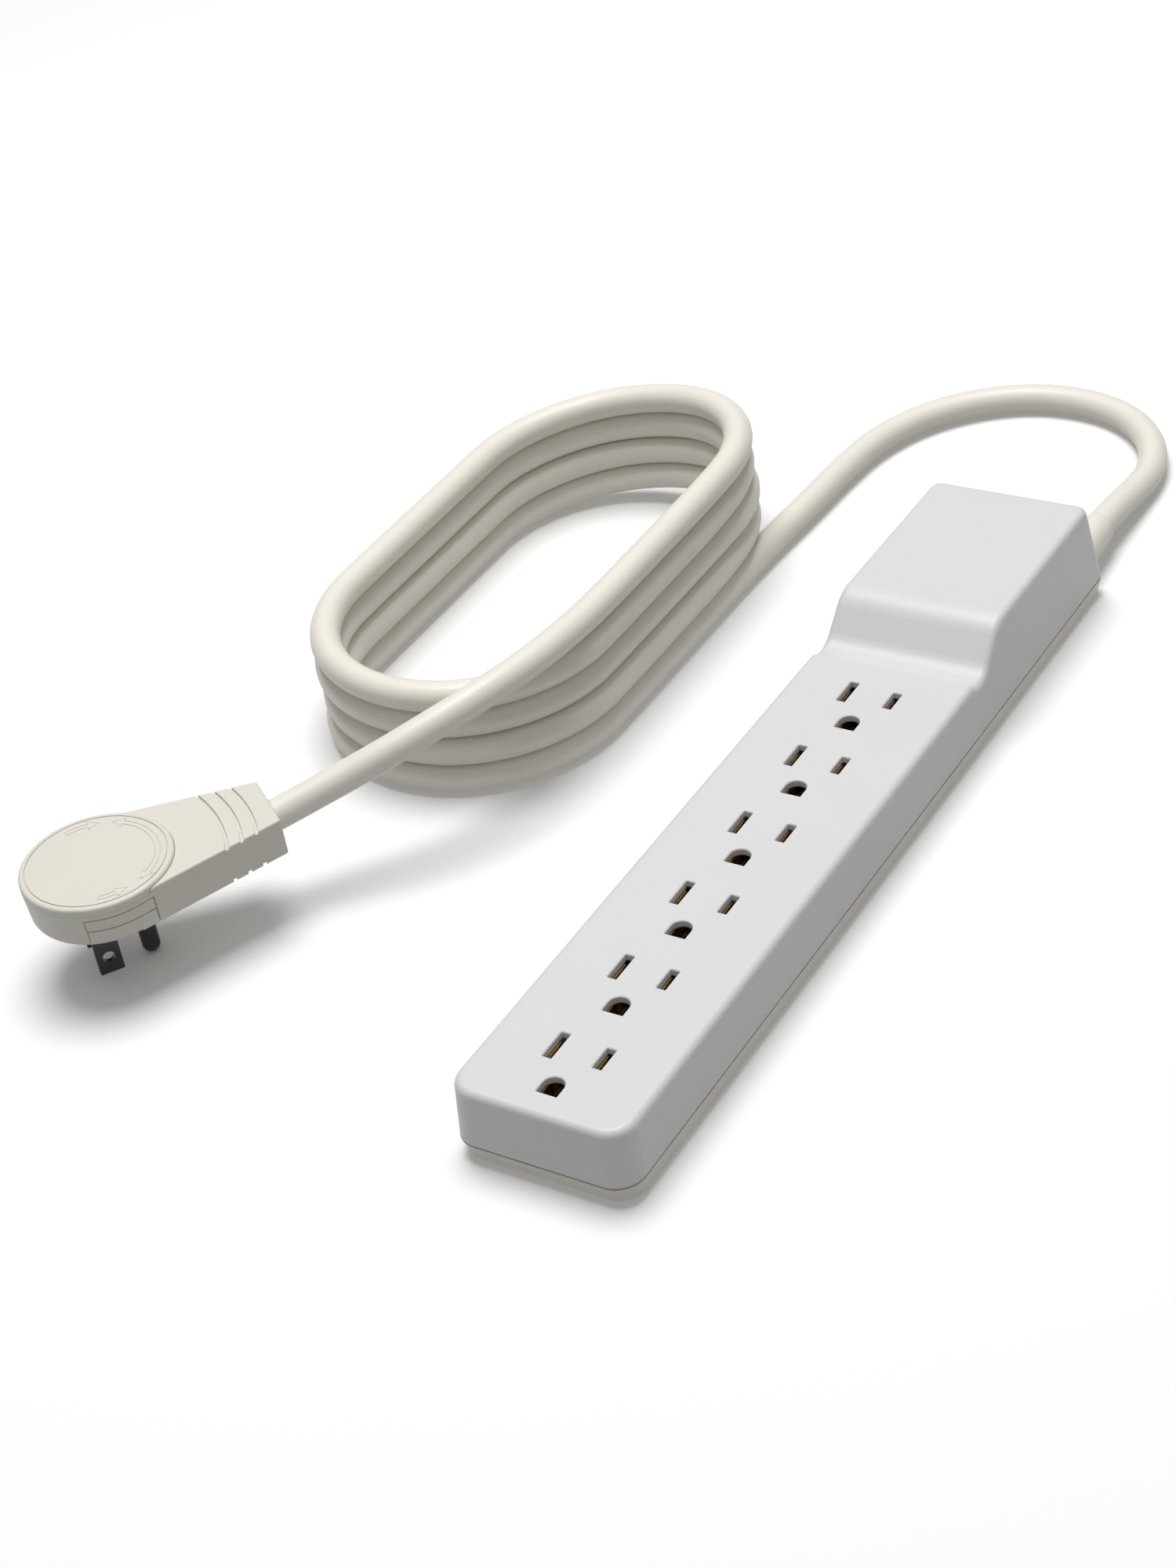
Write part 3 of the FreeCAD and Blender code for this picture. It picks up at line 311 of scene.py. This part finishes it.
def buildHandling():
    # light smudges, and hairline marks that run one way
    inputs = [("Smudge", 25), ("Lines", 300)]
    outputs = [("Smudge", "Float"), ("Lines", "Float")]
    tree, entry, leave = group("handling", inputs, outputs)
    where = add(tree, "TexCoord").outputs["Object"]
    smudge = noise(tree, where, entry.outputs["Smudge"], patterns["smudge"])
    stretch = add(tree, "Mapping")
    stretch.inputs["Rotation"].default_value = lineRun["turn"]
    stretch.inputs["Scale"].default_value = lineRun["squeeze"]
    tree.links.new(where, stretch.inputs["Vector"])
    lines = noise(tree, stretch.outputs["Vector"], entry.outputs["Lines"], patterns["lines"])
    tree.links.new(smudge, leave.inputs["Smudge"])
    tree.links.new(lines, leave.inputs["Lines"])
    return tree


def buildSoftEdge():
    # rounds the look of sharp moulded edges and says where they are, for the painted edge highlight
    inputs = [("Radius", 0.0004)]
    outputs = [("Edge", "Float"), ("Normal", "Vector")]
    tree, entry, leave = group("softEdge", inputs, outputs)
    rounded = add(tree, "Bevel", samples=edgeLook["samples"])
    tree.links.new(entry.outputs["Radius"], rounded.inputs["Radius"])
    facing = add(tree, "VectorMath", operation="DOT_PRODUCT")
    tree.links.new(rounded.outputs["Normal"], facing.inputs[0])
    tree.links.new(add(tree, "NewGeometry").outputs["Normal"], facing.inputs[1])
    edge = remap(tree, facing.outputs["Value"], edgeLook["flat"], edgeLook["sharp"])
    tree.links.new(edge, leave.inputs["Edge"])
    tree.links.new(rounded.outputs["Normal"], leave.inputs["Normal"])
    return tree


mouldGrain = buildMouldGrain()
handling = buildHandling()
softEdge = buildSoftEdge()


# finishes

# the edge colour and its strength paint a highlight along sharp edges, such as slot rims and the top rim
coverFinish = {
    "colour": (0.72, 0.72, 0.72), "shade": (0.705, 0.705, 0.705), "edgeHighlightColour": (0.97, 0.97, 0.97),
    "dustColour": (0.6, 0.59, 0.56), "dust": 0.04,
    "roughness": 0.38, "unevenness": 0.02, "rub": 0.015, "gloss": 0.5, "metal": 0.0,
    "grain": 2200, "grainDepth": 0.00002, "flow": 30, "smudge": 22, "lines": 260, "scratch": 0.3,
    "edgeRadius": 0.0006, "edgeHighlight": 0.9,
}
# the base's own warmer tone, made lighter still as painted light for the rounded band that catches light
# from above
baseFinish = dict(coverFinish, colour=(0.82, 0.79, 0.71), shade=(0.80, 0.77, 0.69),
                  edgeHighlightColour=(0.86, 0.83, 0.76), roughness=0.4)
plugFinish = dict(coverFinish, colour=(0.75, 0.72, 0.65), shade=(0.735, 0.705, 0.635),
                  edgeHighlightColour=(0.88, 0.86, 0.80), roughness=0.45, grain=3000, flow=60, edgeRadius=0.0003)
rotorFinish = dict(plugFinish, colour=(0.70, 0.67, 0.60), shade=(0.68, 0.65, 0.58))
cordFinish = dict(coverFinish, colour=(0.86, 0.825, 0.75), shade=(0.845, 0.81, 0.735),
                  edgeHighlightColour=(0.86, 0.825, 0.75), roughness=0.4, grain=1500, flow=120, edgeHighlight=0.0)
# near-black brown: partly the carrier's own dark plastic, partly painted shade for the depth of the outlet
# slots
carrierFinish = dict(coverFinish, colour=(0.045, 0.03, 0.022), shade=(0.04, 0.027, 0.02),
                     edgeHighlightColour=(0.08, 0.06, 0.05), roughness=0.55)
breakerFinish = dict(coverFinish, colour=(0.02, 0.02, 0.02), shade=(0.025, 0.025, 0.025),
                     edgeHighlightColour=(0.05, 0.05, 0.05), roughness=0.35)
bladeFinish = dict(coverFinish, colour=(0.035, 0.035, 0.036), shade=(0.045, 0.045, 0.046),
                   edgeHighlightColour=(0.16, 0.16, 0.16), roughness=0.36, metal=0.5, grain=5000, grainDepth=0.00001,
                   flow=150, lines=900, scratch=0.6, edgeRadius=0.0002)
brassFinish = dict(bladeFinish, colour=(0.85, 0.62, 0.33), shade=(0.78, 0.55, 0.28),
                   edgeHighlightColour=(0.80, 0.62, 0.36), roughness=0.3, metal=1.0)
screwFinish = dict(bladeFinish, colour=(0.52, 0.52, 0.53), shade=(0.46, 0.46, 0.47),
                   edgeHighlightColour=(0.70, 0.70, 0.70), roughness=0.32, metal=1.0)
wireColours = {
    "hot_insulation": (0.02, 0.02, 0.02),
    "neutral_insulation": (0.75, 0.75, 0.73),
    "ground_insulation": (0.03, 0.28, 0.07),
}
wireShade = 0.9  # how bright the darker tone of a wire is


def wireFinish(colour):
    dark = tuple(wireShade * c for c in colour)
    return dict(cordFinish, colour=colour, shade=dark, edgeHighlightColour=colour, grain=4000, flow=300)


def newFinish(name, finish):
    material = bpy.data.materials.new(name)
    material.use_nodes = True
    tree = material.node_tree
    shader = tree.nodes["Principled BSDF"]
    grain = use(tree, mouldGrain, Grain=finish["grain"], Flow=finish["flow"])
    marks = use(tree, handling, Smudge=finish["smudge"], Lines=finish["lines"])
    edge = use(tree, softEdge, Radius=finish["edgeRadius"])
    toned = mixColour(tree, grain["Flow"], finish["colour"], finish["shade"])
    dust = maths(tree, "MULTIPLY", marks["Smudge"], finish["dust"])
    dusty = mixColour(tree, dust, toned, finish["dustColour"])
    # painted highlight: sharp edges are lightened towards the edge colour by the edge mask
    edgeHighlightMask = maths(tree, "MULTIPLY", edge["Edge"], finish["edgeHighlight"])
    tree.links.new(mixColour(tree, edgeHighlightMask, dusty, finish["edgeHighlightColour"]), shader.inputs["Base Color"])
    low = finish["roughness"] - finish["unevenness"]
    high = finish["roughness"] + finish["unevenness"]
    uneven = remap(tree, grain["Flow"], 0, 1, low, high)
    rubbed = maths(tree, "MULTIPLY", marks["Smudge"], finish["rub"])
    tree.links.new(maths(tree, "SUBTRACT", uneven, rubbed), shader.inputs["Roughness"])
    bump = add(tree, "Bump")
    bump.inputs["Distance"].default_value = finish["grainDepth"]
    scratched = maths(tree, "MULTIPLY", marks["Lines"], finish["scratch"])
    tree.links.new(maths(tree, "SUBTRACT", grain["Grain"], scratched), bump.inputs["Height"])
    tree.links.new(edge["Normal"], bump.inputs["Normal"])
    tree.links.new(bump.outputs["Normal"], shader.inputs["Normal"])
    shader.inputs["Specular IOR Level"].default_value = finish["gloss"]
    shader.inputs["Metallic"].default_value = finish["metal"]
    return material


materials = {
    "cover_plastic": newFinish("coverPlastic", coverFinish),
    "base_plastic": newFinish("basePlastic", baseFinish),
    "plug_plastic": newFinish("plugPlastic", plugFinish),
    "rotor_plastic": newFinish("rotorPlastic", rotorFinish),
    "cord_pvc": newFinish("cordVinyl", cordFinish),
    "carrier_plastic": newFinish("carrierPlastic", carrierFinish),
    "breaker_plastic": newFinish("breakerPlastic", breakerFinish),
    "contact_brass": newFinish("contactBrass", brassFinish),
    "dark_metal": newFinish("darkMetal", bladeFinish),
    "screw_steel": newFinish("screwSteel", screwFinish),
}
for slotName, colour in wireColours.items():
    materials[slotName] = newFinish(slotName.replace("_", "") + "Vinyl", wireFinish(colour))

for row in frame["record"]["subparts"]:
    mesh = nodes[row["node"]].data
    mesh.materials.clear()
    mesh.materials.append(materials[row["material_slot"]])
cord.data.materials.append(materials["cord_pvc"])
for arrow in arrows:
    arrow.data.materials.append(materials["plug_plastic"])
print("finishes ready:", len(materials))


# floor and light

studio = {
    "floorSize": 6,  # from the middle to each side
    "floorDrop": 0.0002,  # a hair below the base, so that the two don't flicker
    "floorColour": (0.99, 0.99, 0.99),
    "skyTop": 0.52, "skySide": 0.10, "skyBelow": 0.50,
    "skySeen": 0.9,  # only what the camera sees of it
    "skyBlend": 0.05,  # height over which the lower sky fades
    "lampPlace": (-0.20, 0.22, 1.5),
    "lampAim": (-0.06, 0.04, 0),
    "lampSize": 0.9,
    "lampPower": 17.4,
}


def addFloor(settings):
    size = settings["floorSize"]
    mesh = bpy.data.meshes.new("floor")
    corners = [(-size, -size, 0), (size, -size, 0), (size, size, 0), (-size, size, 0)]
    mesh.from_pydata(corners, [], [(0, 1, 2, 3)])
    material = bpy.data.materials.new("floorPaper")
    material.use_nodes = True
    shader = material.node_tree.nodes["Principled BSDF"]
    shader.inputs["Base Color"].default_value = (*settings["floorColour"], 1)
    shader.inputs["Roughness"].default_value = 1.0
    shader.inputs["Specular IOR Level"].default_value = 0.0
    mesh.materials.append(material)
    floor = bpy.data.objects.new("floor", mesh)
    scene.collection.objects.link(floor)
    floor.visible_diffuse = False  # throws no light back on the part
    floor.location.z = -settings["floorDrop"]


def addLamp(settings):
    light = bpy.data.lights.new("softbox", "AREA")
    light.shape = "DISK"
    light.size = settings["lampSize"]
    light.energy = settings["lampPower"]
    lamp = bpy.data.objects.new("softbox", light)
    scene.collection.objects.link(lamp)
    away = Vector(settings["lampPlace"]) - Vector(settings["lampAim"])
    lamp.rotation_mode = "QUATERNION"
    lamp.rotation_quaternion = away.to_track_quat("Z", "Y")
    lamp.location = settings["lampPlace"]


def addSky(settings):
    world = bpy.data.worlds.new("studio")
    scene.world = world
    world.use_nodes = True
    tree = world.node_tree
    split = add(tree, "SeparateXYZ")
    tree.links.new(add(tree, "TexCoord").outputs["Generated"], split.inputs["Vector"])
    up = remap(tree, split.outputs["Z"], 0, 1, settings["skySide"], settings["skyTop"])
    down = remap(tree, split.outputs["Z"], -settings["skyBlend"], 0, settings["skyBelow"], 0)
    seen = add(tree, "Mix", data_type="FLOAT")
    tree.links.new(add(tree, "LightPath").outputs["Is Camera Ray"], seen.inputs["Factor"])
    tree.links.new(maths(tree, "MAXIMUM", up, down), seen.inputs["A"])
    seen.inputs["B"].default_value = settings["skySeen"]
    back = tree.nodes["Background"]
    back.inputs["Color"].default_value = (1, 1, 1, 1)
    tree.links.new(seen.outputs["Result"], back.inputs["Strength"])


addFloor(studio)
addLamp(studio)
addSky(studio)
scene.view_settings.view_transform = "Standard"
print("studio ready")

bpy.context.view_layer.update()
